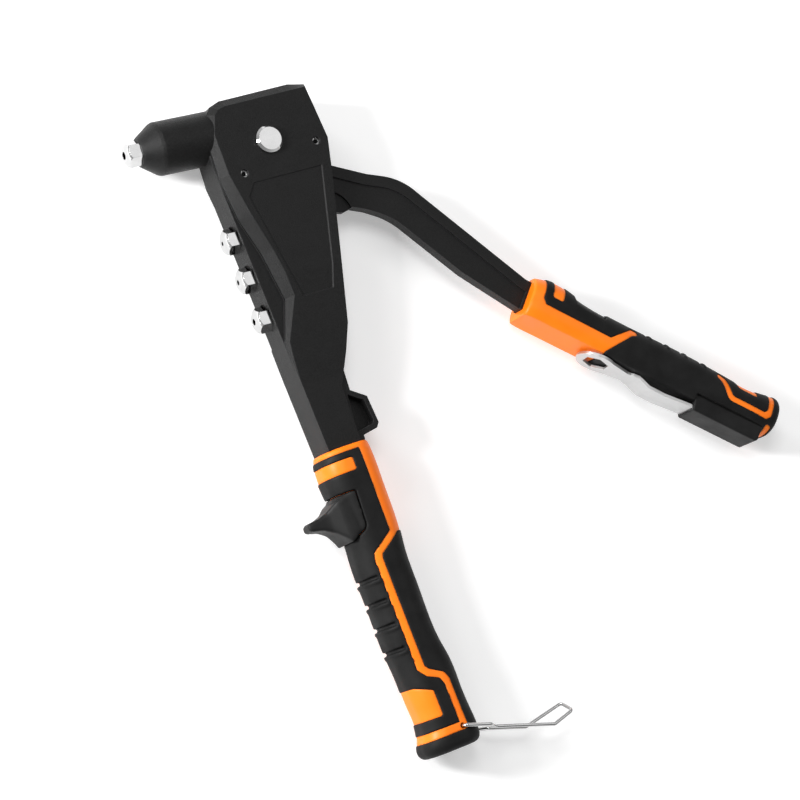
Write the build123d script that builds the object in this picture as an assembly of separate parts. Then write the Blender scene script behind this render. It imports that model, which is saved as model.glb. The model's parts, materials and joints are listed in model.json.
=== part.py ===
from build123d import *
import math
import os

# Two-handle blind riveter. Millimetres.
# Origin: centre of the fitted nosepiece's front face. The barrel runs along +X from there, so
# rivets enter along +X; the fixed handle hangs toward -Y; +Z is the side of the pivot pin's head.

# ---------------------------------------------------------------- driving dimensions
BARREL_R = 10.8            # outside of the barrel
BARREL_BORE_R = 8.0        # the jaw case slides in this bore
BARREL_FRONT_X = 6.0       # front of the cone, where the nosepiece seats
CONE_FRONT_R = 6.2
CONE_END_X = 14.0
BLOCK_X = 33.0             # front of the head block

PLATE_Z = 10.9             # outside of the side plates
BEVEL_Z = 8.0              # where the bevel to the plates begins
STRIP_Z = 6.6              # half width of the front strip
NECK_Z = 8.0               # half width of the neck above the grip
CHANNEL_Z = 7.8            # half width of the lever channel
PANEL_DEPTH = 0.4          # a shallow recess in each side plate

STRIP_TOP = (32.5, -20.0)  # the front strip is a straight line, leaning back as it goes down
STRIP_LEAN = 0.0911        # mm of X per mm of drop

PIVOT = (56.6, -8.0)
PIN_R = 3.5
PIN_HEAD_R = 5.6
PIN_HEAD_RISE = 2.2
ROLL_PIN_R = 1.6
ROLL_PIN_SINK = 1.2        # the cross pins end below the plates
ROLL_PINS = {"front_roll_pin": (42.5, -19.2), "rear_roll_pin": (76.6, -12.3)}

HEX_FLATS = 9.2            # nosepiece hexagon across flats
HEX_LENGTH = 6.0
SHANK_R = 3.95
THREAD_R = 4.0             # the threaded holes that take the shanks
SHANK_END = 13.0
SPARE_Y = {"nosepiece_spare_large": -76.2, "nosepiece_spare_medium": -59.4,
           "nosepiece_spare_small": -42.8}
MANDREL_R = {"nosepiece_fitted": 1.6, "nosepiece_spare_large": 1.3,
             "nosepiece_spare_medium": 1.05, "nosepiece_spare_small": 0.85}

FIXED_GRIP_AT = (51.0, -133.6)      # top of the fixed grip, on its axis
FIXED_GRIP_LEAN = 3.9               # degrees from -Y
FIXED_GRIP_LENGTH = 126.0
MOVING_GRIP_AT = (149.0, -94.0)     # lever end of the moving grip, on its axis
MOVING_GRIP_DROP = 39.0             # degrees below +X
MOVING_GRIP_LENGTH = 121.2
GRIP_SKIN = 2.2                     # thickness of the soft overmould
GRIP_CORNER_R = 9.0
ORANGE_SINK = 0.4                   # the core shows through a little below the overmould
INSERT_GAP = 0.2                    # seam round the finger guard and the pad

LEVER_Z = 3.6              # half width of the lever's top flange
LEVER_WEB_Z = 2.6
LEVER_FLANGE = 4.6         # height of the top flange
LEVER_ROOT_Z = 7.4         # half width of the two cheeks round the pin
FORK_SLOT_Z = 4.7          # the jaw case's tail passes between the cheeks
BUSH_R = 4.6

CASE_R = 7.6
CASE_FRONT_X = 13.9
CASE_END_X = 40.0
CASE_BORE_R = 6.0
JAW_CONE_DEG = 12.0
TAIL_R = 4.0
TAIL_BORE_R = 1.9
COLLAR_X = (62.6, 66.2)

HOLSTER_S = (82.2, 115.4)  # along the moving grip
HOLSTER_Z = (7.2, 8.3)     # half width at the outer face and beside the grip
HOLSTER_B = (-12.0, -5.3)  # across the moving grip
GRIP_FLAT_B = -8.1         # the grip's flat underside, which the wrench lies along
WRENCH_T = 1.2
WRENCH_RING_S = 38.8
WRENCH_RING_R = 8.6
WRENCH_HOLE_FLATS = 9.7
WRENCH_HOLE_TURN = 26.0    # degrees the hexagon is turned from a corner on the wrench's axis

BAIL_HOLE = (118.2, 2.7)   # along and across the fixed grip
BAIL_HOLE_R = 1.15
BAIL_WIRE_R = 0.75
BAIL_DROP = 14.0           # degrees below +X


# ---------------------------------------------------------------- helpers
class GripFrame:
    """A grip's own axes: s runs along it to its free end, b across it, z across the tool."""

    def __init__(self, at, degrees_from_x):
        turn = math.radians(degrees_from_x)
        self.at = at
        self.along = (math.cos(turn), math.sin(turn))
        self.across = (-self.along[1], self.along[0])
        self.side = Plane(origin=(at[0], at[1], 0), x_dir=(*self.along, 0), z_dir=(0, 0, 1))

    def point(self, s, b, z=0.0):
        x = self.at[0] + s * self.along[0] + b * self.across[0]
        y = self.at[1] + s * self.along[1] + b * self.across[1]
        return (x, y, z)

    def slab(self, points, z0, z1):
        """Extrude an outline given in (s, b)."""
        face = self.side.offset(z0) * Polygon(*points, align=None)
        return extrude(face, amount=z1 - z0, dir=(0, 0, 1))

    def prism(self, points, corner_r=0.8, gap=0.0):
        """Cut right across the grip, with rounded corners and set in by a gap."""
        face = self.side.offset(-20) * Polygon(*points, align=None)
        face = fillet(face.vertices(), corner_r)
        if gap:
            face = offset(face, -gap)
        return extrude(face, amount=40, dir=(0, 0, 1))

    def box(self, s, b, z):
        return self.slab([(s[0], b[0]), (s[1], b[0]), (s[1], b[1]), (s[0], b[1])], z[0], z[1])

    def section(self, s, back, front, half_z, radius):
        plane = Plane(origin=self.point(s, 0), x_dir=(*self.across, 0), z_dir=(*self.along, 0))
        corner_r = min(radius, (back + front) / 2 - 0.3, half_z - 0.3)
        return plane * Pos((back - front) / 2, 0) * RectangleRounded(back + front, 2 * half_z, corner_r)

    def body(self, stations, inset=0.0):
        """Loft rounded sections; each station is (s, back, front, half_z)."""
        radius = GRIP_CORNER_R - inset
        rings = [self.section(s, back - inset, front - inset, half - inset, radius)
                 for s, back, front, half in stations]
        return loft(rings)


fixed = GripFrame(FIXED_GRIP_AT, FIXED_GRIP_LEAN - 90)
moving = GripFrame(MOVING_GRIP_AT, -MOVING_GRIP_DROP)


def slab(points, z0, z1):
    return extrude(Plane.XY.offset(z0) * Polygon(*points, align=None), amount=z1 - z0, dir=(0, 0, 1))


def both_sides(part):
    return part + mirror(part, about=Plane.XY)


def along_x(radius, x0, x1, y=0.0):
    return Location((x0, y, 0), (0, 90, 0)) * Cylinder(
        radius, x1 - x0, align=(Align.CENTER, Align.CENTER, Align.MIN))


def along_z(radius, z0, z1, at):
    return Pos(at[0], at[1], z0) * Cylinder(
        radius, z1 - z0, align=(Align.CENTER, Align.CENTER, Align.MIN))


def turned(profile):
    """Revolve an outline of (x, radius) points about the barrel's axis."""
    return revolve(Plane.XY * Polygon(*profile, align=None), axis=Axis.X)


def strip_x(y):
    return STRIP_TOP[0] + (STRIP_TOP[1] - y) * STRIP_LEAN


def one_solid(part):
    """Drop boolean crumbs and keep the real piece."""
    return max(part.solids(), key=lambda solid: solid.volume)


def without_crumbs(part, smallest=5.0):
    return Compound([solid for solid in part.solids() if solid.volume > smallest])


# ---------------------------------------------------------------- body casting
# Outline where the bevel begins, and the outline of the flat plate above it. Point for point,
# they start at the top front corner and run clockwise seen from +Z.
BEVEL_OUTLINE = [(35.0, 7.4), (37.6, 10.4), (42.0, 12.0), (72.8, 13.3), (80.0, 12.0), (82.9, -11.8),
                 (80.6, -23.8), (67.1, -86.6), (62.6, -97.8), (56.4, -110.6), (57.6, -138.0),
                 (43.3, -138.0), (39.9, -101.0), (38.9, -88.2), (44.3, -71.6), (40.4, -52.0),
                 (35.2, -36.0), (32.5, -18.9), (32.4, -2.0)]
PLATE_OUTLINE = [(37.4, 6.0), (39.4, 8.0), (43.0, 8.9), (72.4, 10.0), (78.9, 10.2), (81.8, -11.8),
                 (79.6, -23.6), (66.2, -86.4), (61.7, -97.4), (55.4, -110.6), (56.6, -138.0),
                 (44.3, -138.0), (41.6, -101.0), (42.4, -89.2), (48.6, -71.0), (44.6, -52.0),
                 (40.0, -36.0), (35.9, -18.9), (34.9, -2.0)]
PANEL_OUTLINE = [(45.2, -23.9), (75.4, -22.7), (65.1, -72.0), (51.2, -72.6), (41.7, -29.0)]
CHANNEL_OUTLINE = [(44.0, 8.8), (95.0, 8.8), (95.0, -97.5), (60.5, -94.0), (53.0, -62.0),
                   (49.0, -22.0), (44.0, -12.0)]
LUG_OUTLINE = [(52.0, -108.5), (57.2, -110.7), (66.4, -116.4), (67.9, -127.6), (66.6, -129.6),
               (54.0, -132.6)]
LUG_POCKET = [(58.4, -113.9), (64.7, -117.6), (66.1, -126.4), (65.2, -127.6), (57.6, -129.4)]
LUG_Z = 6.4
LUG_WEB_Z = 2.0
TANG_OUTLINE = [(-6.0, -7.4), (95.0, -5.0), (95.0, 4.5), (-6.0, 5.2)]
TANG_Z = 5.4
SPOT_FACE_R = 5.9
SPOT_FACE_DEPTH = 0.45


def barrel_outside():
    return turned([(BARREL_FRONT_X, 0), (BARREL_FRONT_X, CONE_FRONT_R - 0.6),
                   (BARREL_FRONT_X + 0.6, CONE_FRONT_R), (CONE_END_X - 1.2, BARREL_R - 0.5),
                   (CONE_END_X, BARREL_R), (BLOCK_X + 8, BARREL_R), (BLOCK_X + 8, 0)])


def tapered_width(inset):
    """Seen from behind, the head is parallel down to the lower third and tapers into the neck."""
    plate, neck = PLATE_Z - inset, NECK_Z - inset
    width = [(-plate, 20), (plate, 20), (plate, -62), (neck, -106), (neck, -145), (-neck, -145),
             (-neck, -106), (-plate, -62)]
    return extrude(Plane.YZ * Polygon(*[(y, z) for z, y in width], align=None), amount=120, dir=(1, 0, 0))


def panel_recess():
    """A sloped wall all round, and a floor that follows the plate."""
    panel = Plane.XY * Polygon(*PANEL_OUTLINE, align=None)
    floor_z = PLATE_Z - PANEL_DEPTH
    cutter = loft([Pos(0, 0, floor_z + rise) * offset(panel, rise, kind=Kind.INTERSECTION)
                   for rise in (-1.0, 1.0)], ruled=True)
    return both_sides(cutter) - tapered_width(PANEL_DEPTH)


def head_and_neck():
    strip_bottom = -138.0
    core = slab([(34.0, 6.0), (60.0, 6.0), (60.0, strip_bottom), (strip_x(strip_bottom), strip_bottom),
                 STRIP_TOP, (32.0, -14.0), (32.0, 2.0)], -STRIP_Z, STRIP_Z)
    middle = slab(BEVEL_OUTLINE, -BEVEL_Z, BEVEL_Z)
    bevel = loft([Plane.XY.offset(BEVEL_Z) * Polygon(*BEVEL_OUTLINE, align=None),
                  Plane.XY.offset(PLATE_Z) * Polygon(*PLATE_OUTLINE, align=None)], ruled=True)
    head = core + middle + both_sides(bevel)
    return (head & tapered_width(0)) - panel_recess()


def body_casting():
    body = barrel_outside() + head_and_neck()
    body += slab(LUG_OUTLINE, -LUG_Z, LUG_Z)
    body -= fixed.box((0, 60), (-40, 40), (-30, 30))
    body += fixed.slab(TANG_OUTLINE, -TANG_Z, TANG_Z)
    body -= along_x(THREAD_R, 0, CONE_END_X)
    body -= along_x(BARREL_BORE_R, SHANK_END, 46)
    body -= slab(CHANNEL_OUTLINE, -CHANNEL_Z, CHANNEL_Z)
    body -= both_sides(slab(LUG_POCKET, LUG_WEB_Z, LUG_Z + 1))
    body -= along_z(PIN_R, -20, 20, PIVOT)
    for at in ROLL_PINS.values():
        body -= along_z(ROLL_PIN_R, -20, 20, at)
    for y in SPARE_Y.values():
        seat = strip_x(y) + SPOT_FACE_DEPTH
        body -= along_x(SPOT_FACE_R, seat - 5, seat, y)
        body -= along_x(THREAD_R, seat - 1, seat + 11, y)
    return one_solid(body)


# ---------------------------------------------------------------- pivot and cross pins
WASHER_R = 6.4
WASHER_T = 1.0
CLIP_T = 0.8
CLIP_GROOVE_R = 2.7


def pivot_pin():
    end_z = -(PLATE_Z + WASHER_T + CLIP_T + 0.9)
    shank = along_z(PIN_R, end_z, PLATE_Z + 0.5, PIVOT)
    head = along_z(PIN_HEAD_R, PLATE_Z, PLATE_Z + PIN_HEAD_RISE, PIVOT)
    head = chamfer(head.faces().sort_by(Axis.Z)[-1].edges(), 0.9)
    groove_top = -(PLATE_Z + WASHER_T + 0.1)
    groove = along_z(PIN_R + 1, groove_top - CLIP_T, groove_top, PIVOT)
    groove -= along_z(CLIP_GROOVE_R, -20, 0, PIVOT)
    return shank + head - groove


def pivot_washer():
    top = -PLATE_Z
    return along_z(WASHER_R, top - WASHER_T, top, PIVOT) - along_z(PIN_R + 0.1, -20, 0, PIVOT)


def pivot_clip():
    top = -(PLATE_Z + WASHER_T + 0.1)
    ring = along_z(PIN_R + 1.5, top - CLIP_T, top, PIVOT) - along_z(CLIP_GROOVE_R, -20, 0, PIVOT)
    mouth = 2.1
    return ring - Pos(PIVOT[0], PIVOT[1] - 4, top) * Box(2 * mouth, 8, 4)


def roll_pin(at):
    length = PLATE_Z - ROLL_PIN_SINK
    slit = Pos(at[0], at[1] + ROLL_PIN_R, 0) * Box(0.35, 2 * ROLL_PIN_R, 2 * length + 1)
    return along_z(ROLL_PIN_R, -length, length, at) - along_z(1.0, -length, length, at) - slit


# ---------------------------------------------------------------- nosepieces
def nosepiece(mandrel_r):
    corner_r = HEX_FLATS / math.sqrt(3)
    tip_x = SHANK_END + 2.4
    hexagon = Plane.YZ * RegularPolygon(corner_r, 6)
    head = extrude(hexagon, amount=HEX_LENGTH)
    dome_edge = Polyline((0.0, 2.7), (0.0, 0.0), (HEX_LENGTH, 0.0), (HEX_LENGTH, corner_r - 0.5),
                         (HEX_LENGTH - 0.5, corner_r), (1.8, corner_r))
    dome_arc = ThreePointArc((1.8, corner_r), (0.7, 4.3), (0.0, 2.7))
    head &= revolve(make_face(dome_edge + dome_arc), axis=Axis.X)
    collar = along_x(SHANK_R - 0.4, HEX_LENGTH - 0.1, HEX_LENGTH + 0.8)
    shank = along_x(SHANK_R, HEX_LENGTH + 0.7, SHANK_END)
    nose = turned([(SHANK_END - 0.1, 0), (SHANK_END - 0.1, 2.9), (SHANK_END + 0.6, 2.9),
                   (tip_x, 2.3), (tip_x, 0)])
    return head + collar + shank + nose - along_x(mandrel_r, -1, tip_x + 1)


# ---------------------------------------------------------------- jaw set
def cone_r(x, gap=0.0):
    """Radius of the case's inner cone, less a gap."""
    return 3.6 + (x - CASE_FRONT_X - 0.9) * math.tan(math.radians(JAW_CONE_DEG)) - gap


def jaw_case():
    cone_end = CASE_FRONT_X + 0.9 + (CASE_BORE_R - 3.6) / math.tan(math.radians(JAW_CONE_DEG))
    profile = [(CASE_FRONT_X, 3.3), (CASE_FRONT_X, CASE_R - 1.0), (CASE_FRONT_X + 1.0, CASE_R),
               (CASE_END_X, CASE_R), (CASE_END_X, CASE_BORE_R), (cone_end, CASE_BORE_R),
               (CASE_FRONT_X + 0.9, 3.6)]
    return turned(profile)


def jaw_case_tail():
    plug_x = CASE_END_X - 4.0
    profile = [(plug_x, TAIL_BORE_R), (plug_x, CASE_BORE_R - 0.03), (CASE_END_X, CASE_BORE_R - 0.03),
               (CASE_END_X, CASE_R), (CASE_END_X + 1.5, CASE_R), (CASE_END_X + 1.5, TAIL_R),
               (COLLAR_X[0], TAIL_R), (COLLAR_X[0], 7.2), (COLLAR_X[1], 7.2),
               (COLLAR_X[1], TAIL_R), (COLLAR_X[1] + 1.2, TAIL_R), (COLLAR_X[1] + 1.2, TAIL_BORE_R)]
    return turned(profile)


JAW_X = (16.3, 25.4)
JAW_BORE_R = 1.75
JAW_SPLIT = 0.55
JAW_GAP = 0.35


def jaw(side):
    """One half of the split cone; side is +1 above the axis and -1 below it."""
    cone = turned([(JAW_X[0], 0), (JAW_X[0], cone_r(JAW_X[0], JAW_GAP)),
                   (JAW_X[1] - 1.2, cone_r(JAW_X[1] - 1.2, JAW_GAP)), (JAW_X[1], 4.2), (JAW_X[1], 0)])
    half = slab([(0, side * JAW_SPLIT), (60, side * JAW_SPLIT), (60, side * 12), (0, side * 12)], -12, 12)
    piece = (cone & half) - along_x(JAW_BORE_R, 0, 60)
    tooth_pitch = 1.2
    for count in range(6):
        x = JAW_X[0] + 1.0 + count * tooth_pitch
        piece -= turned([(x, 0), (x, JAW_BORE_R), (x + 0.45, JAW_BORE_R + 0.4), (x + 0.6, JAW_BORE_R),
                         (x + 0.6, 0)])
    return one_solid(piece)


PUSHER_X = (25.7, 27.7)


def jaw_pusher():
    return turned([(PUSHER_X[0], TAIL_BORE_R), (PUSHER_X[0], 4.4), (PUSHER_X[0] + 0.6, 5.4),
                   (PUSHER_X[1], 5.4), (PUSHER_X[1], 3.1), (33.5, 3.1), (33.5, TAIL_BORE_R)])


def jaw_spring():
    wire_r = 0.5
    x0 = PUSHER_X[1] + wire_r + 0.1
    x1 = CASE_END_X - 4.0 - wire_r - 0.1
    turns = 4
    coil_r = 4.4
    path = Location((x0, 0, 0), (0, 90, 0)) * Helix(pitch=(x1 - x0) / turns, height=x1 - x0, radius=coil_r)
    section = Plane(origin=path @ 0, z_dir=path % 0) * Circle(wire_r)
    return sweep(section, path=path, is_frenet=True)


# ---------------------------------------------------------------- lever
# The arm leaves the body nearly level, bends down and runs straight into the grip.
ARM_TOP = [(76.0, -18.6), (83.3, -22.1), (96.7, -28.4), (103.6, -30.8)]
ARM_TOP_BEND_END = (116.4, -40.6)
ARM_BOTTOM = [(74.0, -33.5), (79.2, -40.4), (83.0, -41.4), (87.2, -40.2), (93.0, -42.4), (97.2, -44.7)]
ARM_BOTTOM_BEND_END = (107.4, -53.7)
ARM_TANG_TOP = [(-3.0, 8.2), (88.0, 4.2)]        # along and across the moving grip
ARM_TANG_BOTTOM = [(-29.0, -1.3), (-1.0, -4.4), (88.0, -3.6)]
RECESS_AT = (75.8, -42.0)  # a round recess in each side of the arm, beside the body's back edge
RECESS_R = 10.8
RECESS_WEB_Z = 1.3


def arm_outline(top_inset=0.0, bottom_inset=0.0):
    """Face of the arm and its tang in the grip, inset from its edges."""
    def edge(points, bend_end, tang, inset):
        shifted = [(x - inset * 0.39, y - inset * 0.92) for x, y in points]
        bend = (bend_end[0] - inset * 0.78, bend_end[1] - inset * 0.62)
        arc = TangentArc(shifted[-1], bend, tangent=direction(shifted[-2], shifted[-1]))
        run = [moving.point(s, b - inset)[:2] for s, b in tang]
        return shifted[0], Polyline(*shifted) + arc + Polyline(bend, *run), run[-1]

    top_start, upper, top_end = edge(ARM_TOP, ARM_TOP_BEND_END, ARM_TANG_TOP, top_inset)
    low_start, lower, low_end = edge(ARM_BOTTOM, ARM_BOTTOM_BEND_END, ARM_TANG_BOTTOM, -bottom_inset)
    return make_face(upper + lower + Line(top_end, low_end) + Line(low_start, top_start))


def direction(start, end):
    return (end[0] - start[0], end[1] - start[1])


ROOT_OUTLINE = [(51.8, 0.5), (62.2, 0.5), (62.2, -6.6), (72.0, -14.6), (78.2, -18.4), (78.2, -34.1),
                (76.0, -33.0), (60.0, -18.0), (50.5, -12.5), (48.6, -7.0)]
FORK_TIP_R = 5.2           # the prongs' round tips push the collar back
FORK_TIP_AT = (57.0, 0.0)
ROOT_BACK = (62.2, -6.6)   # the cheeks stay in front of the collar above this corner
POCKET_START_X = 80.5


def lever_arm():
    arm = extrude(arm_outline(), amount=LEVER_Z, both=True)
    below_flange = arm_outline(LEVER_FLANGE, -3.0)
    pocket = extrude(Plane.XY.offset(LEVER_WEB_Z) * below_flange, amount=4, dir=(0, 0, 1))
    pocket &= moving.slab([(-120, -20), (-1, -20), (-1, 60), (-120, 60)], 0, 20)
    pocket &= slab([(POCKET_START_X, 10), (160, 10), (160, -120), (POCKET_START_X, -120)], 0, 20)
    root = slab(ROOT_OUTLINE, -LEVER_ROOT_Z, LEVER_ROOT_Z)
    root += along_z(FORK_TIP_R, -LEVER_ROOT_Z, LEVER_ROOT_Z, FORK_TIP_AT)
    root += along_z(9.0, -LEVER_ROOT_Z, LEVER_ROOT_Z, PIVOT)
    root -= slab([ROOT_BACK, (75, ROOT_BACK[1]), (75, 9), (ROOT_BACK[0], 9)], -20, 20)
    lever = arm + root - both_sides(pocket)
    lever -= both_sides(along_z(RECESS_R, RECESS_WEB_Z, 12, RECESS_AT))
    slot = along_z(10.2, -FORK_SLOT_Z, FORK_SLOT_Z, PIVOT)
    slot += slab([(46, -8), (67, -8), (67, 9), (46, 9)], -FORK_SLOT_Z, FORK_SLOT_Z)
    lever -= slot
    lever -= along_z(BUSH_R, -20, 20, PIVOT)
    return one_solid(lever)


def lever_bush():
    """Flanged bronze bushes, one pressed into each cheek."""
    bush = along_z(BUSH_R, FORK_SLOT_Z, LEVER_ROOT_Z, PIVOT) - along_z(PIN_R + 0.05, 0, 20, PIVOT)
    return both_sides(bush)


# ---------------------------------------------------------------- grips
# Each station is (s, back, front, half width).
FIXED_STATIONS = [(0.0, 11.2, 11.2, 10.4), (3.0, 11.5, 11.9, 10.9), (20.0, 11.4, 11.9, 10.9),
                  (37.0, 10.9, 11.5, 10.6), (46.0, 9.8, 12.3, 10.4), (60.0, 9.5, 12.3, 10.3),
                  (84.0, 9.8, 12.2, 10.4), (92.0, 11.0, 11.6, 10.5), (104.0, 11.0, 11.3, 10.8),
                  (111.0, 11.2, 10.9, 10.9), (118.0, 11.6, 12.2, 11.1),
                  (FIXED_GRIP_LENGTH, 11.0, 11.8, 10.5)]
MOVING_STATIONS = [(0.0, 11.0, 10.6, 10.2), (3.0, 11.7, 11.0, 10.7), (11.0, 12.6, 11.0, 10.8),
                   (20.0, 11.2, 11.0, 10.8), (38.0, 9.9, 11.0, 10.7), (54.0, 10.0, 11.0, 10.6),
                   (72.0, 10.3, 11.0, 10.6), (84.0, 10.0, 11.0, 10.6), (96.0, 9.4, 11.0, 10.7),
                   (108.0, 9.4, 10.4, 10.6), (114.5, 10.7, 8.8, 10.2),
                   (MOVING_GRIP_LENGTH, 10.3, 5.6, 9.2)]
END_ROUND = 3.5

TOP_BAND = [(-1.0, -20.0), (-1.0, 20.0), (2.2, 20.0), (2.2, -20.0)]
FIXED_WINDOW = [(5.0, -20.0), (5.0, -0.8), (10.2, -0.8), (10.2, -20.0)]
FIXED_STRIPE = [(0.0, 3.5), (37.0, 3.4), (43.4, -6.1), (45.8, -6.7), (92.0, -6.5), (95.4, -3.9),
                (97.6, 0.8), (100.3, 1.9), (119.6, 1.9), (119.6, 4.9), (99.0, 4.8), (96.2, 3.5),
                (93.0, -2.1), (91.4, -3.4), (46.4, -3.6), (44.8, -3.2), (38.2, 6.8), (37.6, 20.0),
                (0.0, 20.0)]
FIXED_RING = [(116.4, -20.0), (119.6, -20.0), (119.6, 4.9), (116.4, 4.9)]
FIXED_SQUARE = [(96.6, -20.0), (98.2, -9.8), (101.4, -3.6), (111.8, -3.5), (111.4, -20.0)]
GUARD_SEAT = [(17.0, -30.0), (17.4, -4.2), (31.8, -4.8), (33.6, -5.8), (38.0, -14.0), (38.0, -30.0)]
GUARD_HORN = [(18.0, -9.0), (19.6, -13.4), (22.0, -17.0), (23.3, -21.0), (23.6, -24.6), (24.4, -25.6),
              (26.4, -25.8), (27.2, -25.0), (28.4, -20.0), (31.0, -16.0), (34.6, -13.0), (37.6, -11.4),
              (33.0, -8.0)]
GUARD_WIDTH = [(-6.0, 9.6), (-12.0, 8.6), (-17.0, 5.0), (-26.5, 3.4)]

MOVING_ORANGE = [(-1.0, -20.0), (-1.0, 20.0), (4.4, 20.0), (4.9, 1.4), (6.8, -0.7), (38.0, -1.0),
                 (44.8, 6.0), (46.2, 7.4), (48.6, 7.2), (49.2, 5.6), (46.8, 4.2), (38.2, -6.8),
                 (35.0, -20.0)]
MOVING_WINDOW = [(8.0, 20.0), (8.4, 3.6), (13.4, 3.7), (13.6, 20.0)]
MOVING_STRIPE = [(88.6, 5.6), (89.4, 7.6), (92.6, 6.4), (94.5, 4.2), (97.2, 0.8), (98.6, 0.3),
                 (113.4, 0.3), (114.6, 1.5), (114.6, 20.0), (117.0, 20.0), (117.0, -0.2),
                 (115.2, -2.0), (97.6, -2.0), (95.6, -1.2), (92.6, 2.6), (91.0, 4.4)]
MOVING_FAR_WINDOW = [(98.0, 20.0), (98.0, 7.8), (100.0, 5.6), (108.8, 5.4), (108.8, 20.0)]
MOVING_RING = [(116.4, -20.0), (116.4, -3.4), (119.2, -3.4), (119.2, -20.0)]
PAD_SEAT = [(18.2, 20.0), (18.8, 8.6), (20.2, 5.8), (33.2, 5.4), (34.8, 7.4), (35.4, 20.0)]
PAD_SINK = 0.9

FIXED_GROOVES = [52.6, 62.2, 72.0, 82.0]       # finger grooves, along the grip
FIXED_GROOVE_B = (-20.0, -7.6)
MOVING_GROOVES = [54.2, 62.8, 71.4, 81.0]
MOVING_GROOVE_B = (7.4, 20.0)
GROOVE_WIDTH = 1.6
GROOVE_DEPTH = 1.2
LIP_WIDTH = 1.3            # a low rib runs along the far side of each groove
LIP_RISE = 0.35


def grip_s(frame, point):
    return (point.X - frame.at[0]) * frame.along[0] + (point.Y - frame.at[1]) * frame.along[1]


def whole_grip(frame, stations, inset=0.0):
    grip = frame.body(stations, inset)
    ends = grip.faces().filter_by(GeomType.PLANE).sort_by(lambda face: grip_s(frame, face.center()))
    grip = fillet(ends[-1].edges(), END_ROUND)
    ends = grip.faces().filter_by(GeomType.PLANE).sort_by(lambda face: grip_s(frame, face.center()))
    return fillet(ends[0].edges(), 1.2)


def inner_bar(frame, stations, end_s):
    bar = frame.body(stations, GRIP_SKIN)
    return bar & frame.box((0, end_s), (-30, 30), (-30, 30))


def orange_areas(frame, *outlines):
    parts = [frame.prism(outline) for outline in outlines]
    return parts[0].fuse(*parts[1:])


def finger_grooves(frame, stations, grooves, across):
    """The grooves to cut, and the ribs beside them to add."""
    floor = frame.body(stations, GROOVE_DEPTH)
    raised = frame.body(stations, -LIP_RISE)
    half = GROOVE_WIDTH / 2
    cuts = [frame.box((s - half, s + half), across, (-20, 20)) - floor for s in grooves]
    lips = [frame.box((s + half, s + half + LIP_WIDTH), across, (-20, 20)) & raised for s in grooves]
    return cuts, lips


def fixed_grip():
    """Core, overmould and finger guard, which fit one another face to face."""
    whole = whole_grip(fixed, FIXED_STATIONS)
    tang = fixed.slab(TANG_OUTLINE, -TANG_Z, TANG_Z)
    hole = fixed.side * along_z(BAIL_HOLE_R, -20, 20, BAIL_HOLE)
    bar = inner_bar(fixed, FIXED_STATIONS, FIXED_GRIP_LENGTH - GRIP_SKIN)
    orange = orange_areas(fixed, TOP_BAND, FIXED_WINDOW, FIXED_STRIPE, FIXED_RING, FIXED_SQUARE)
    core = bar + (whole_grip(fixed, FIXED_STATIONS, ORANGE_SINK) & orange)
    overmould = whole - bar - orange - fixed.prism(GUARD_SEAT)
    cuts, lips = finger_grooves(fixed, FIXED_STATIONS, FIXED_GROOVES, FIXED_GROOVE_B)
    for cut, lip in zip(cuts, lips):
        overmould = overmould - cut + (lip - bar)
    horn = fixed.slab(GUARD_HORN, -12, 12)
    profile = [(b, half) for b, half in GUARD_WIDTH] + [(b, -half) for b, half in reversed(GUARD_WIDTH)]
    end_view = Plane(origin=fixed.point(0, 0), x_dir=(*fixed.across, 0), z_dir=(*fixed.along, 0))
    horn &= extrude(end_view * Polygon(*profile, align=None), amount=60, dir=(*fixed.along, 0))
    guard = ((whole + horn) & fixed.prism(GUARD_SEAT, gap=INSERT_GAP)) - bar
    return one_solid(core - tang - hole), without_crumbs(overmould - hole), one_solid(guard)


def moving_body(inset):
    """The grip's outside: flat underneath where the wrench lies, and cut back beside the holster."""
    body = whole_grip(moving, MOVING_STATIONS, inset)
    body -= moving.box((-5, 130), (-20, GRIP_FLAT_B + inset), (-20, 20))
    return body - both_sides(moving.slab(HOLSTER_SIDE, HOLSTER_Z[0], 20))


def moving_grip():
    """Core, overmould and blank pad."""
    whole = moving_body(0)
    bar = inner_bar(moving, MOVING_STATIONS, MOVING_GRIP_LENGTH - GRIP_SKIN) & whole
    bar -= moving.box((-5, 130), (-20, GRIP_FLAT_B + 1.2), (-20, 20))
    bar -= both_sides(moving.box((HOLSTER_S[0] - 2, HOLSTER_S[1] + 2), (-20, HOLSTER_B[1] + 1.2),
                                 (HOLSTER_Z[0] - 1.2, 20)))
    tang = extrude(arm_outline(), amount=LEVER_Z, both=True)
    orange = orange_areas(moving, MOVING_ORANGE, MOVING_WINDOW, MOVING_STRIPE, MOVING_FAR_WINDOW,
                          MOVING_RING)
    core = bar + (moving_body(ORANGE_SINK) & orange)
    overmould = whole - bar - orange - moving.prism(PAD_SEAT)
    cuts, lips = finger_grooves(moving, MOVING_STATIONS, MOVING_GROOVES, MOVING_GROOVE_B)
    for cut, lip in zip(cuts, lips):
        overmould = overmould - cut + (lip - bar)
    pad = (moving_body(PAD_SINK) & moving.prism(PAD_SEAT, gap=INSERT_GAP)) - bar
    return one_solid(core - tang), without_crumbs(overmould - tang), one_solid(pad)


# ---------------------------------------------------------------- holster and wrench
HOLSTER_SIDE = [(HOLSTER_S[0], HOLSTER_B[1]), (HOLSTER_S[0] + 1.7, HOLSTER_B[0]),
                (HOLSTER_S[1] - 0.8, HOLSTER_B[0]), (HOLSTER_S[1], HOLSTER_B[0] + 0.8),
                (HOLSTER_S[1], HOLSTER_B[1])]
HOLSTER_WALL = 0.9
BLADE_OUTER_B = -10.9
BLADE_Z = 6.3
POCKET_Z = 6.5
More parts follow.
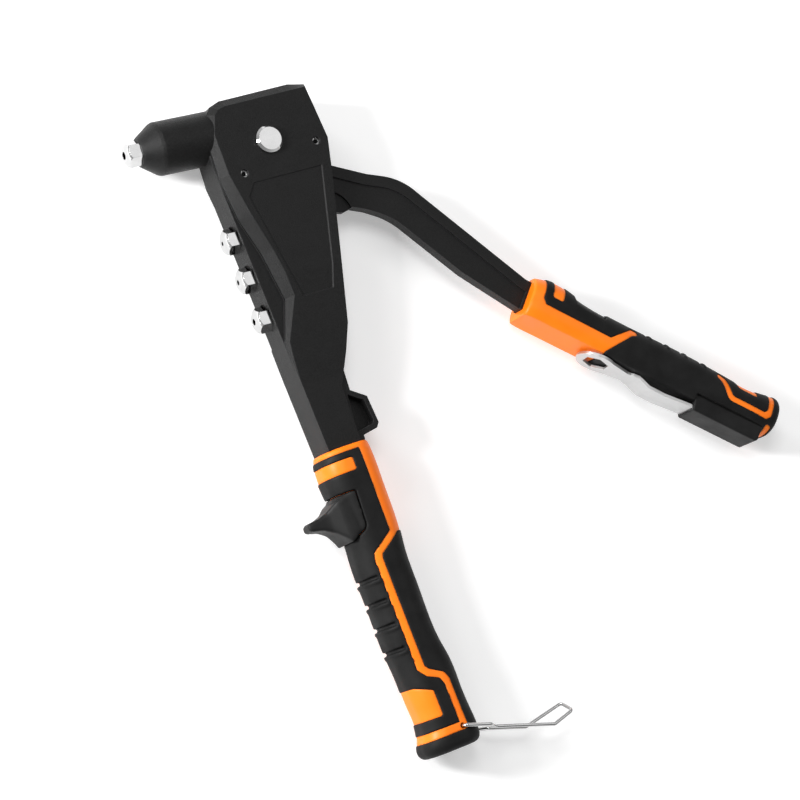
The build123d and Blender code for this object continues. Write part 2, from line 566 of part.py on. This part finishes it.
# The wrench's outer face, as (s, b): the ring leans out a little and the blade bows away from the grip.
WRENCH_FACE = [(28.0, -10.1), (52.5, -9.75), (57.0, -9.9), (62.5, -11.9), (70.0, -12.0),
               (82.0, BLADE_OUTER_B), (109.5, BLADE_OUTER_B)]
WRENCH_PLAN = [(37.0, 6.0), (43.0, 7.2), (52.0, 4.6), (53.6, 4.6), (54.4, 5.6), (58.0, BLADE_Z),
               (101.5, BLADE_Z), (103.0, 5.6), (104.0, 4.2), (109.5, 3.8)]


def across_section(s, points, length):
    """Extrude an outline given in (b, z) along the moving grip."""
    plane = Plane(origin=moving.point(s, 0), x_dir=(*moving.across, 0), z_dir=(*moving.along, 0))
    return extrude(plane * Polygon(*points, align=None), amount=length, dir=(*moving.along, 0))


def wrench_holster():
    outer_z, grip_z = HOLSTER_Z
    section = [(HOLSTER_B[0], -outer_z), (HOLSTER_B[0], outer_z), (HOLSTER_B[1], grip_z),
               (HOLSTER_B[1], -grip_z)]
    shell = moving.slab(HOLSTER_SIDE, -20, 20) & across_section(HOLSTER_S[0] - 5, section, 50)
    pocket = moving.box((HOLSTER_S[0] - 1, HOLSTER_S[1] - 1.5),
                        (HOLSTER_B[0] + HOLSTER_WALL, BLADE_OUTER_B + WRENCH_T + 0.2),
                        (-POCKET_Z, POCKET_Z))
    seat = moving.box((HOLSTER_S[0] - 1, HOLSTER_S[1] + 1), (GRIP_FLAT_B, 0), (-outer_z, outer_z))
    return shell - pocket - seat


def wrench():
    side = WRENCH_FACE + [(s, b + WRENCH_T) for s, b in reversed(WRENCH_FACE)]
    sheet = moving.slab(side, -12, 12)
    plan = Plane(origin=moving.point(0, -16), x_dir=(*moving.along, 0), z_dir=(*moving.across, 0))
    outline = WRENCH_PLAN + [(s, -z) for s, z in reversed(WRENCH_PLAN)]
    hexagon = Rot(0, 0, WRENCH_HOLE_TURN) * RegularPolygon(WRENCH_HOLE_FLATS / math.sqrt(3), 6)
    ring_at = Pos(WRENCH_RING_S, 0)
    blade, ring, hole = [extrude(plan * face, amount=20, dir=(*moving.across, 0))
                         for face in (Polygon(*outline, align=None), ring_at * Circle(WRENCH_RING_R),
                                      ring_at * hexagon)]
    return one_solid((sheet & (blade + ring)) - hole)


# ---------------------------------------------------------------- bail
BAIL_OUT_Z = 12.4          # the legs clear the grip's sides
BAIL_IN_Z = 3.5


def bail():
    """Wire latch: its ends hook into the grip's cross hole, and its free end is a raised loop."""
    hinge = fixed.point(*BAIL_HOLE)
    turn = math.radians(-BAIL_DROP)
    plane = Plane(origin=hinge, x_dir=(math.cos(turn), math.sin(turn), 0), z_dir=(0, 0, 1))
    # (along the bail, above its legs, z)
    route = [(0, 0, 7.6), (0, 0, BAIL_OUT_Z), (11.4, 0, BAIL_OUT_Z), (17, 0, BAIL_IN_Z),
             (43, 0, BAIL_IN_Z), (51.4, 5.4, 3.3), (49.4, 8.8, -2.6), (33.6, 0, -BAIL_IN_Z),
             (17, 0, -BAIL_IN_Z), (11.4, 0, -BAIL_OUT_Z), (0, 0, -BAIL_OUT_Z), (0, 0, -7.6)]
    path = FilletPolyline(*[plane.from_local_coords(point) for point in route], radius=1.5)
    section = Plane(origin=path @ 0, z_dir=path % 0) * Circle(BAIL_WIRE_R)
    return sweep(section, path=path)


# ---------------------------------------------------------------- build
def build():
    nodes = {"body_casting": body_casting(), "pivot_pin": pivot_pin(), "pivot_washer": pivot_washer(),
             "pivot_clip": pivot_clip()}
    for name, at in ROLL_PINS.items():
        nodes[name] = roll_pin(at)
    nodes["nosepiece_fitted"] = nosepiece(MANDREL_R["nosepiece_fitted"])
    for name, y in SPARE_Y.items():
        front_x = strip_x(y) + SPOT_FACE_DEPTH - HEX_LENGTH
        nodes[name] = Pos(front_x, y, 0) * nosepiece(MANDREL_R[name])
    nodes["jaw_case"] = jaw_case()
    nodes["jaw_case_tail"] = jaw_case_tail()
    nodes["jaw_upper"] = jaw(1)
    nodes["jaw_lower"] = jaw(-1)
    nodes["jaw_pusher"] = jaw_pusher()
    nodes["jaw_spring"] = jaw_spring()
    nodes["lever_arm"] = lever_arm()
    nodes["lever_bush"] = lever_bush()
    core, overmould, guard = fixed_grip()
    nodes.update(fixed_grip_core=core, fixed_grip_overmould=overmould, finger_guard=guard)
    core, overmould, pad = moving_grip()
    nodes.update(moving_grip_core=core, moving_grip_overmould=overmould, grip_pad=pad)
    nodes["wrench_holster"] = wrench_holster()
    nodes["wrench"] = wrench()
    nodes["bail"] = bail()
    return nodes


os.makedirs("parts", exist_ok=True)
for node_name, shape in build().items():
    export_step(shape, f"parts/{node_name}.step")
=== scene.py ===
import bpy
import json
import math
from mathutils import Matrix, Vector


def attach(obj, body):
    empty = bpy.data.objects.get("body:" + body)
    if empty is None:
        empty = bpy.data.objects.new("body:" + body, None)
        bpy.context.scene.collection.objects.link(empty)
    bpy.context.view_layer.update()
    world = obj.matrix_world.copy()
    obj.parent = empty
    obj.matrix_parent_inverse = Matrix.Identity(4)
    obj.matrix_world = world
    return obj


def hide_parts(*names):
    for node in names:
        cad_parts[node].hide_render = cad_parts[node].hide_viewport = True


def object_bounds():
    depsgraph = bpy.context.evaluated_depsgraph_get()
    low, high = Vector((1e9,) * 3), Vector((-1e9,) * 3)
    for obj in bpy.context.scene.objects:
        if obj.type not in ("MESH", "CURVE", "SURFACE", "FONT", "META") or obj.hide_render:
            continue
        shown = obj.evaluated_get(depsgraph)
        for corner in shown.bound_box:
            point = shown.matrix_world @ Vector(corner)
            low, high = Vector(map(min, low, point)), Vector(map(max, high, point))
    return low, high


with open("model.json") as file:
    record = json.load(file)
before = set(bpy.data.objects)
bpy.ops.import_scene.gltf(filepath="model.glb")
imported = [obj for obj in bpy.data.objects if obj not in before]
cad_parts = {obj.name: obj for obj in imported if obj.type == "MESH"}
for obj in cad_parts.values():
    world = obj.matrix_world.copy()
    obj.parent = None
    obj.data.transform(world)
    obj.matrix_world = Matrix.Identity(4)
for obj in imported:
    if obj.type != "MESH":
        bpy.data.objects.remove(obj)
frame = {"nodes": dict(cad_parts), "record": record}
cad_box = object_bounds()

NODES = frame["nodes"]
BODY_OF = {node: body for body, members in frame["record"]["behaviour"]["bodies"].items()
           for node in members}
SLOT_OF = {part["node"]: part["material_slot"] for part in frame["record"]["subparts"]}
MM = 0.001

# The camera's own axes in the part's frame, and where it stands.
CAMERA_RIGHT = Vector((0.87542, -0.29717, 0.38121))
CAMERA_UP = Vector((0.22637, 0.94890, 0.21988))
CAMERA_BACK = Vector((-0.42707, -0.10619, 0.89796))
CAMERA_AT = Vector((-0.41260, -0.24373, 1.04143))
CAMERA_LENS = 130.5                       # focal length in mm on a 36 mm sensor
CAMERA_SENSOR = 36.0
MOVING_GRIP_DROP = math.radians(39.0)     # the moving grip's slope below +X

FLOOR_SIZE = 6.0
FLOOR_GAP = 0.2 * MM                      # keeps the pin's flat end out of the floor's plane
FLOOR_GLOW = 0.30                         # lifts the paper to white without a strong light
WORLD_LOW = (0.15, 0.80)                  # height of a view direction (its Z), and the tone there
WORLD_HIGH = (0.60, 0.20)

# Area lights: right, up and back along the camera's axes from the middle of the part, in metres,
# then width and height in metres, then watts.
SOFTBOXES = {
    "left_low": ((-0.95, -0.45, 0.30), (0.16, 0.40), 3.5),
    "left_front": ((-0.68, 0.16, 0.70), (0.16, 0.30), 12.0),
    "top": ((0.0, 0.55, 1.15), (0.40, 0.40), 4.5),
    "left_high": ((-0.55, 0.80, 0.70), (0.30, 0.20), 2.5),
    "overhead": ((0.80, 0.48, 0.74), (0.80, 0.80), 2.3),
}

# CAD nodes that get a rounded moulded skin: voxel size in mm and smoothing rounds.
MOULDED_NODES = {
    "fixed_grip_overmould": (0.40, 4),
    "moving_grip_overmould": (0.40, 4),
    "finger_guard": (0.40, 30),
    "wrench_holster": (0.35, 5),
    "grip_pad": (0.40, 4),
}


# ---------------------------------------------------------------- camera, floor and light
def add_camera():
    data = bpy.data.cameras.new("camera")
    data.sensor_width = CAMERA_SENSOR
    data.lens = CAMERA_LENS
    data.clip_start = 0.05
    data.clip_end = 20.0
    camera = bpy.data.objects.new("camera", data)
    bpy.context.scene.collection.objects.link(camera)
    turn = Matrix((CAMERA_RIGHT, CAMERA_UP, CAMERA_BACK)).transposed()
    camera.matrix_world = Matrix.Translation(CAMERA_AT) @ turn.to_4x4()
    bpy.context.scene.camera = camera


def add_floor():
    lowest = cad_box[0][2] - FLOOR_GAP
    bpy.ops.mesh.primitive_plane_add(size=FLOOR_SIZE, location=(0.1, -0.13, lowest))
    floor = bpy.context.object
    floor.name = "floor"
    floor.data.materials.append(floor_material())


def add_softbox(name, place, size, power):
    """An area light placed along the camera's axes from the middle of the part, and facing it."""
    right, up, back = place
    middle = (Vector(cad_box[0]) + Vector(cad_box[1])) / 2
    data = bpy.data.lights.new(name, "AREA")
    data.shape = "RECTANGLE"
    data.size, data.size_y = size
    data.energy = power
    light = bpy.data.objects.new(name, data)
    bpy.context.scene.collection.objects.link(light)
    light.location = middle + right * CAMERA_RIGHT + up * CAMERA_UP + back * CAMERA_BACK
    light.rotation_euler = (light.location - middle).to_track_quat("Z", "Y").to_euler()


def add_world():
    """A studio that is pale near the floor and dim overhead, so that metal has something to reflect."""
    world = bpy.data.worlds.new("studio")
    world.use_nodes = True
    nodes, links = world.node_tree.nodes, world.node_tree.links
    direction = nodes.new("ShaderNodeTexCoord").outputs["Generated"]
    split = nodes.new("ShaderNodeSeparateXYZ")
    links.new(direction, split.inputs["Vector"])
    ramp = nodes.new("ShaderNodeValToRGB")
    for element, (height, tone) in zip(ramp.color_ramp.elements, (WORLD_LOW, WORLD_HIGH)):
        element.position = height
        element.color = (tone, tone, tone, 1)
    links.new(split.outputs["Z"], ramp.inputs["Fac"])
    links.new(ramp.outputs["Color"], nodes["Background"].inputs["Color"])
    bpy.context.scene.world = world
    bpy.context.scene.view_settings.view_transform = "Standard"


# ---------------------------------------------------------------- node helpers
class Shader:
    """A material with one Principled shader, and short calls for the nodes that feed it."""

    def __init__(self, name, **sockets):
        self.material = bpy.data.materials.new(name)
        self.material.use_nodes = True
        self.tree = self.material.node_tree
        self.bsdf = self.tree.nodes["Principled BSDF"]
        self.coords = self.tree.nodes.new("ShaderNodeTexCoord").outputs["Object"]
        for socket, value in sockets.items():
            self.bsdf.inputs[socket.replace("_", " ")].default_value = value

    def node(self, kind, **inputs):
        made = self.tree.nodes.new(kind)
        for name, value in inputs.items():
            self.feed(made.inputs[name.replace("_", " ")], value)
        return made

    def feed(self, socket, value):
        if isinstance(value, bpy.types.NodeSocket):
            self.tree.links.new(value, socket)
        else:
            socket.default_value = value

    def noise(self, grain_mm, detail=3.0, roughness=0.55, coords=None):
        """Noise from 0 to 1 whose grain is about that many millimetres across."""
        made = self.node("ShaderNodeTexNoise", Scale=1.0 / (grain_mm * MM), Detail=detail,
                         Roughness=roughness)
        self.feed(made.inputs["Vector"], coords or self.coords)
        return made.outputs["Fac"]

    def stretched(self, turn_z, along, across):
        """Coordinates turned about Z, then scaled along and across that direction."""
        mapping = self.node("ShaderNodeMapping", Vector=self.coords)
        mapping.vector_type = "TEXTURE"
        mapping.inputs["Rotation"].default_value = (0, 0, turn_z)
        mapping.inputs["Scale"].default_value = (along, across, across)
        return mapping.outputs["Vector"]

    def ramp(self, value, *stops):
        """Map a number to colours; each stop is (place, grey or colour)."""
        made = self.node("ShaderNodeValToRGB", Fac=value)
        elements = made.color_ramp.elements
        while len(elements) < len(stops):
            elements.new(0.5)
        for element, (place, colour) in zip(elements, stops):
            element.position = place
            grey = isinstance(colour, (int, float))
            element.color = (colour, colour, colour, 1) if grey else (*colour, 1)
        return made.outputs["Color"]

    def mix(self, factor, first, second):
        made = self.node("ShaderNodeMix")
        made.data_type = "RGBA"
        self.feed(made.inputs["Factor"], factor)
        self.feed(made.inputs["A"], first)
        self.feed(made.inputs["B"], second)
        return made.outputs["Result"]

    def edges(self, radius_mm):
        """A normal that rounds sharp edges, and how much it leans away from the true normal."""
        bevel = self.node("ShaderNodeBevel", Radius=radius_mm * MM)
        bevel.samples = 6
        geometry = self.node("ShaderNodeNewGeometry")
        dot = self.node("ShaderNodeVectorMath")
        dot.operation = "DOT_PRODUCT"
        self.feed(dot.inputs[0], bevel.outputs["Normal"])
        self.feed(dot.inputs[1], geometry.outputs["Normal"])
        return bevel.outputs["Normal"], self.ramp(dot.outputs["Value"], (0.80, 1.0), (0.985, 0.0))

    def bump(self, height, depth_mm, strength=1.0, normal=None):
        made = self.node("ShaderNodeBump", Height=height, Strength=strength, Distance=depth_mm * MM)
        if normal is not None:
            self.feed(made.inputs["Normal"], normal)
        return made.outputs["Normal"]

    def finish(self, colour, roughness, normal):
        self.feed(self.bsdf.inputs["Base Color"], colour)
        self.feed(self.bsdf.inputs["Roughness"], roughness)
        self.feed(self.bsdf.inputs["Normal"], normal)
        return self.material


# ---------------------------------------------------------------- materials
def floor_material():
    shader = Shader("floor_paper", Specular_IOR_Level=0.1, Emission_Color=(1, 1, 1, 1),
                    Emission_Strength=FLOOR_GLOW)
    tone = shader.ramp(shader.noise(40.0), (0.3, 0.84), (0.7, 0.87))
    return shader.finish(tone, 0.9, shader.bump(shader.noise(0.8), 0.05, 0.2))


def textured_coat(name, dark, light, grain_mm, depth_mm):
    """Powder coat on a casting: fine grit, soft mottling and thin, paler edges that are partly edge wear
    and partly a painted highlight.
    """
    shader = Shader(name, Specular_IOR_Level=0.18)
    grain = shader.noise(grain_mm, 4.0, 0.65)
    mottle = shader.noise(9.0, 2.0)
    edge_normal, edge_wear_and_highlight = shader.edges(0.35)
    tone = shader.ramp(grain, (0.38, dark), (0.66, light))
    tone = shader.mix(shader.ramp(mottle, (0.3, 0.0), (0.8, 0.25)), tone, (light, light, light * 1.03, 1))
    # paler edges: partly edge wear, partly a painted highlight along the bevelled edges
    tone = shader.mix(shader.ramp(edge_wear_and_highlight, (0.0, 0.0), (1.0, 0.4)), tone, (0.07, 0.07, 0.073, 1))
    roughness = shader.ramp(grain, (0.3, 0.36), (0.7, 0.56))
    return shader.finish(tone, roughness, shader.bump(grain, depth_mm, 0.8, edge_normal))


def moulded_orange():
    shader = Shader("orange_plastic", Specular_IOR_Level=0.25)
    mottle = shader.noise(14.0, 2.0)
    skin = shader.noise(0.45, 2.0)
    edge_normal, edge_wear_and_highlight = shader.edges(1.2)
    tone = shader.ramp(mottle, (0.3, (0.95, 0.175, 0.003)), (0.75, (1.0, 0.205, 0.005)))
    # paler orange along the edges: a painted highlight, partly edge wear
    tone = shader.mix(shader.ramp(edge_wear_and_highlight, (0.0, 0.0), (1.0, 0.35)), tone, (1.0, 0.36, 0.06, 1))
    roughness = shader.ramp(mottle, (0.3, 0.36), (0.7, 0.46))
    return shader.finish(tone, roughness, shader.bump(skin, 0.03, 0.5, edge_normal))


def soft_black(name, dark, light, roughness, grain_mm, depth_mm):
    """Rubber or satin plastic with a fine spark-eroded skin and a few dusty, rubbed patches."""
    shader = Shader(name, Specular_IOR_Level=0.13)
    skin = shader.noise(grain_mm, 3.0, 0.6)
    rubbed = shader.noise(11.0, 3.0)
    tone = shader.ramp(rubbed, (0.35, dark), (0.75, light))
    sheen = shader.ramp(rubbed, (0.3, roughness + 0.06), (0.75, roughness - 0.08))
    return shader.finish(tone, sheen, shader.bump(skin, depth_mm, 0.7))


def polished(name, tone, roughness):
    """Plated or polished metal with hairline polishing marks."""
    shader = Shader(name, Metallic=1.0)
    lines = shader.noise(1.0, 4.0, 0.7, shader.stretched(0.0, 12.0, 0.25))
    smudge = shader.noise(3.0, 2.0)
    edge_normal, _ = shader.edges(0.12)
    colour = shader.ramp(smudge, (0.3, tone * 0.93), (0.7, tone))
    rough = shader.mix(shader.ramp(lines, (0.45, 0.0), (0.8, 1.0)), (roughness,) * 3 + (1,),
                       (roughness * 2.2,) * 3 + (1,))
    return shader.finish(colour, rough, shader.bump(lines, 0.004, 0.35, edge_normal))


def brushed(name, tone, roughness, turn_z):
    """Rolled steel sheet, brushed along its length."""
    shader = Shader(name, Metallic=1.0, Anisotropic=0.4)
    lines = shader.noise(1.0, 5.0, 0.75, shader.stretched(turn_z, 25.0, 0.12))
    patches = shader.noise(6.0, 2.0)
    edge_normal, edge_wear_and_highlight = shader.edges(0.2)
    colour = shader.ramp(lines, (0.3, tone * 0.82), (0.7, tone))
    # brighter edges: partly edge wear, partly a painted glint
    colour = shader.mix(shader.ramp(edge_wear_and_highlight, (0.0, 0.0), (1.0, 0.6)), colour, (0.9, 0.9, 0.9, 1))
    rough = shader.ramp(patches, (0.3, roughness - 0.05), (0.7, roughness + 0.07))
    return shader.finish(colour, rough, shader.bump(lines, 0.012, 0.5, edge_normal))


def oiled_bronze():
    shader = Shader("bronze", Metallic=1.0)
    pores = shader.noise(0.3, 3.0)
    tone = shader.ramp(pores, (0.35, (0.34, 0.21, 0.09)), (0.6, (0.56, 0.37, 0.17)))
    return shader.finish(tone, 0.42, shader.bump(pores, 0.03, 0.5))


def make_materials():
    return {
        "black_casting": textured_coat("black_casting", 0.003, 0.010, 0.50, 0.22),
        "black_lever": textured_coat("black_lever", 0.003, 0.010, 0.45, 0.14),
        "orange_plastic": moulded_orange(),
        "black_rubber": soft_black("black_rubber", 0.006, 0.011, 0.58, 0.35, 0.05),
        "black_plastic": soft_black("black_plastic", 0.008, 0.015, 0.46, 0.30, 0.03),
        "bright_chrome": polished("bright_chrome", 0.56, 0.07),
        "plain_steel": brushed("plain_steel", 0.62, 0.42, -MOVING_GRIP_DROP),
        "hardened_steel": brushed("hardened_steel", 0.42, 0.28, 0.0),
        "bronze": oiled_bronze(),
    }


# ---------------------------------------------------------------- pieces
def paint_nodes(materials):
    for node, piece in NODES.items():
        for slot in piece.material_slots:
            slot.material = materials[SLOT_OF[node]]


def moulded(node, materials, voxel_mm, rounds):
    """A moulded skin over a CAD node: the same shape, with its sharp edges rounded off."""
    mesh = NODES[node].data.copy()
    piece = bpy.data.objects.new(node + "_skin", mesh)
    bpy.context.scene.collection.objects.link(piece)
    remesh = piece.modifiers.new("even_grid", "REMESH")
    remesh.mode = "VOXEL"
    remesh.voxel_size = voxel_mm * MM
    smooth = piece.modifiers.new("rounded", "SMOOTH")
    smooth.factor = 0.5
    smooth.iterations = rounds
    depsgraph = bpy.context.evaluated_depsgraph_get()
    piece.data = bpy.data.meshes.new_from_object(piece.evaluated_get(depsgraph))
    piece.modifiers.clear()
    piece.data.materials.clear()
    piece.data.materials.append(materials[SLOT_OF[node]])
    for polygon in piece.data.polygons:
        polygon.use_smooth = True
    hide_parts(node)
    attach(piece, BODY_OF[node])


def main():
    add_camera()
    add_world()
    add_floor()
    for name, (place, size, power) in SOFTBOXES.items():
        add_softbox(name, place, size, power)
    materials = make_materials()
    paint_nodes(materials)
    for node, (voxel_mm, rounds) in MOULDED_NODES.items():
        moulded(node, materials, voxel_mm, rounds)


main()
